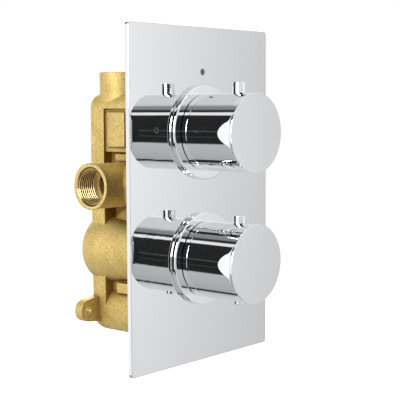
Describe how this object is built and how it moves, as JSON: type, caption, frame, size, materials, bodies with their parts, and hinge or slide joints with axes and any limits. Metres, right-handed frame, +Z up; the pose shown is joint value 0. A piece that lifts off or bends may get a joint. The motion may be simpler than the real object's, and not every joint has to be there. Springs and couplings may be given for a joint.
{
  "type": "concealed thermostatic shower valve",
  "caption": "Concealed thermostatic shower valve: upright plate with round flow and temperature handles on a cast body with threaded inlets and a top outlet.",
  "frame": {"origin": "midway between the two handle axes, on the finished wall's face behind the plate", "axes": "+X right and +Z up as seen from the front, +Y into the wall"},
  "size_m": [0.139, 0.1445, 0.225],
  "materials": {
    "chrome": "mirror plated",
    "cast_brass": "sand cast",
    "turned_brass": "machined",
    "steel": "plain",
    "spring_steel": "drawn wire",
    "rubber": "moulded",
    "foam": "closed-cell foam sheet",
    "white_plastic": "moulded acetal",
    "black_plastic": "moulded glass-filled",
    "ceramic": "ground alumina",
    "copper": "drawn copper",
    "mark_grey": "etched and filled"
  },
  "bodies": {
    "valve": {"cold_check_housing": "white_plastic", "cold_check_spring": "spring_steel", "cold_inlet_strainer": "steel", "face_plate": "chrome", "flow_cartridge_body": "turned_brass", "flow_cartridge_oring": "rubber", "flow_collar": "chrome", "flow_collar_oring": "rubber", "flow_fixed_disc": "ceramic", "flow_gland_nut": "turned_brass", "flow_seat_seal": "rubber", "flow_sleeve": "turned_brass", "foot_plug": "turned_brass", "foot_plug_oring": "rubber", "hot_check_housing": "white_plastic", "hot_check_spring": "spring_steel", "hot_inlet_strainer": "steel", "off_mark": "mark_grey", "open_mark": "mark_grey", "plate_gasket": "foam", "service_plug_orings": "rubber", "service_plugs": "turned_brass", "stop_ring": "black_plastic", "temperature_collar": "chrome", "temperature_collar_oring": "rubber", "temperature_sleeve": "turned_brass", "thermo_cold_strainer": "steel", "thermo_end_cap": "black_plastic", "thermo_front_oring": "rubber", "thermo_gland_nut": "turned_brass", "thermo_hot_strainer": "steel", "thermo_housing": "turned_brass", "thermo_middle_oring": "rubber", "thermo_rear_oring": "rubber", "thermo_return_spring": "spring_steel", "valve_body": "cast_brass"},
    "flow_control": {"flow_handle": "chrome", "flow_lever_pin": "chrome", "flow_grub_screw": "steel", "flow_adaptor": "white_plastic", "flow_adaptor_screw": "steel", "flow_spindle": "turned_brass", "flow_spindle_oring": "rubber", "flow_moving_disc": "ceramic"},
    "temperature_control": {"temperature_handle": "chrome", "temperature_lever_pin": "chrome", "temperature_grub_screw": "steel", "temperature_adaptor": "white_plastic", "temperature_adaptor_screw": "steel", "thermo_spindle": "turned_brass", "thermo_spindle_oring": "rubber", "override_spring": "spring_steel"},
    "override": {"override_button": "chrome", "override_clip": "steel"},
    "regulator": {"thermo_drive_nut": "turned_brass", "thermo_overload_spring": "spring_steel", "thermo_wax_element": "copper", "thermo_shuttle": "black_plastic"},
    "hot_poppet": {"hot_check_poppet": "white_plastic"},
    "cold_poppet": {"cold_check_poppet": "white_plastic"}
  },
  "joints": [
    {"name": "flow_handle_turn", "type": "hinge", "parent": "valve", "child": "flow_control", "pos_m": [0, 0, 0.0425], "axis": [0, -1, 0], "range_deg": [0, 90]},
    {"name": "temperature_handle_turn", "type": "hinge", "parent": "valve", "child": "temperature_control", "pos_m": [0, 0, -0.0425], "axis": [0, -1, 0], "range_deg": [-200, 0]},
    {"name": "override_button_press", "type": "slide", "parent": "temperature_control", "child": "override", "axis": [0, 0, 1], "range_m": [0, 0.002], "stiffness_N_per_m": 400, "springref_m": -0.001, "deforming": ["override_spring"]},
    {"name": "regulator_slide", "type": "slide", "parent": "valve", "child": "regulator", "axis": [0, 1, 0], "range_m": [-0.00085, 0], "deforming": ["thermo_return_spring"]},
    {"name": "hot_check_open", "type": "slide", "parent": "valve", "child": "hot_poppet", "axis": [1, 0, 0], "range_m": [0, 0.0035], "stiffness_N_per_m": 60, "springref_m": -0.002, "deforming": ["hot_check_spring"]},
    {"name": "cold_check_open", "type": "slide", "parent": "valve", "child": "cold_poppet", "axis": [-1, 0, 0], "range_m": [0, 0.0035], "stiffness_N_per_m": 60, "springref_m": -0.002, "deforming": ["cold_check_spring"]}
  ],
  "couplings": [
    {"joint": "regulator_slide", "follows": "temperature_handle_turn", "m_per_rad": 0.00023873}
  ]
}
